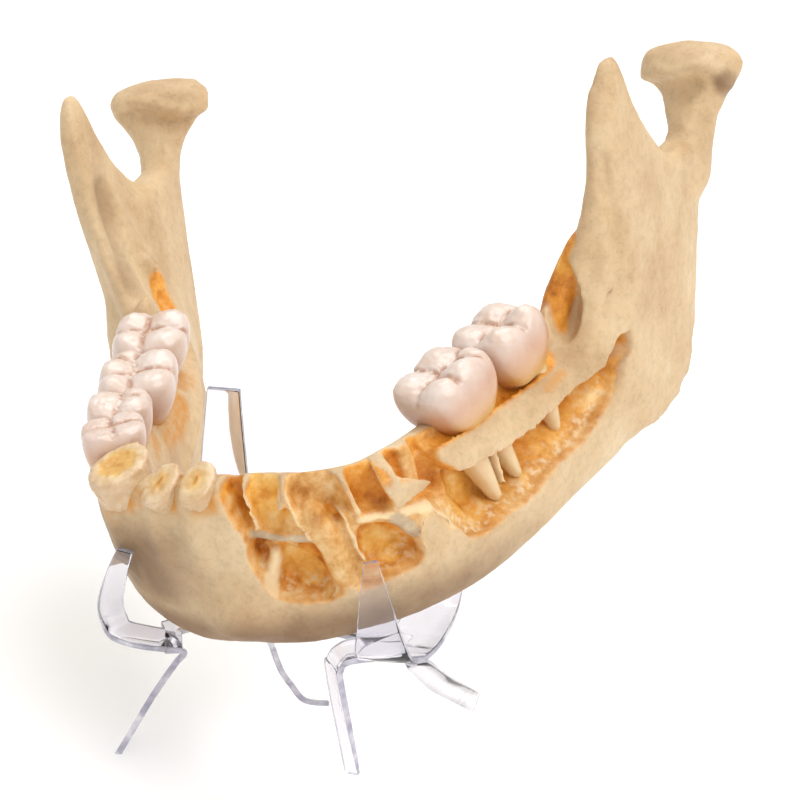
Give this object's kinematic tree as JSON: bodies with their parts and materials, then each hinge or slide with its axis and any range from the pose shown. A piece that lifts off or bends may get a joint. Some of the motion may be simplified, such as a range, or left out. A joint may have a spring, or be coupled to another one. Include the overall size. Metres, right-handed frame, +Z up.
{
  "type": "human mandible",
  "caption": "Dry young human lower jaw with a cut-away cheek side that shows tooth sockets and molar roots, held level on a clear bent-sheet display stand.",
  "frame": {"origin": "on the table plane, under the middle of the whole specimen and stand", "axes": "+X towards the jaw's own left, +Y from the chin to the condyles, +Z up from the table"},
  "size_m": [0.1032, 0.0868, 0.0939],
  "materials": {
    "bone": "dry matt bone",
    "enamel": "glossy tooth enamel",
    "dentine": "satin yellow dentine",
    "clear_sheet": "clear acrylic sheet, bent hot"
  },
  "bodies": {
    "root": {"mandible": "bone", "right_second_molar": "enamel", "right_first_molar": "enamel", "right_second_premolar": "enamel", "right_first_premolar": "enamel", "right_canine": "dentine", "right_lateral_incisor_root": "dentine", "right_central_incisor_root": "dentine", "left_first_molar": "enamel", "left_second_molar": "enamel", "display_stand": "clear_sheet"}
  },
  "joints": []
}
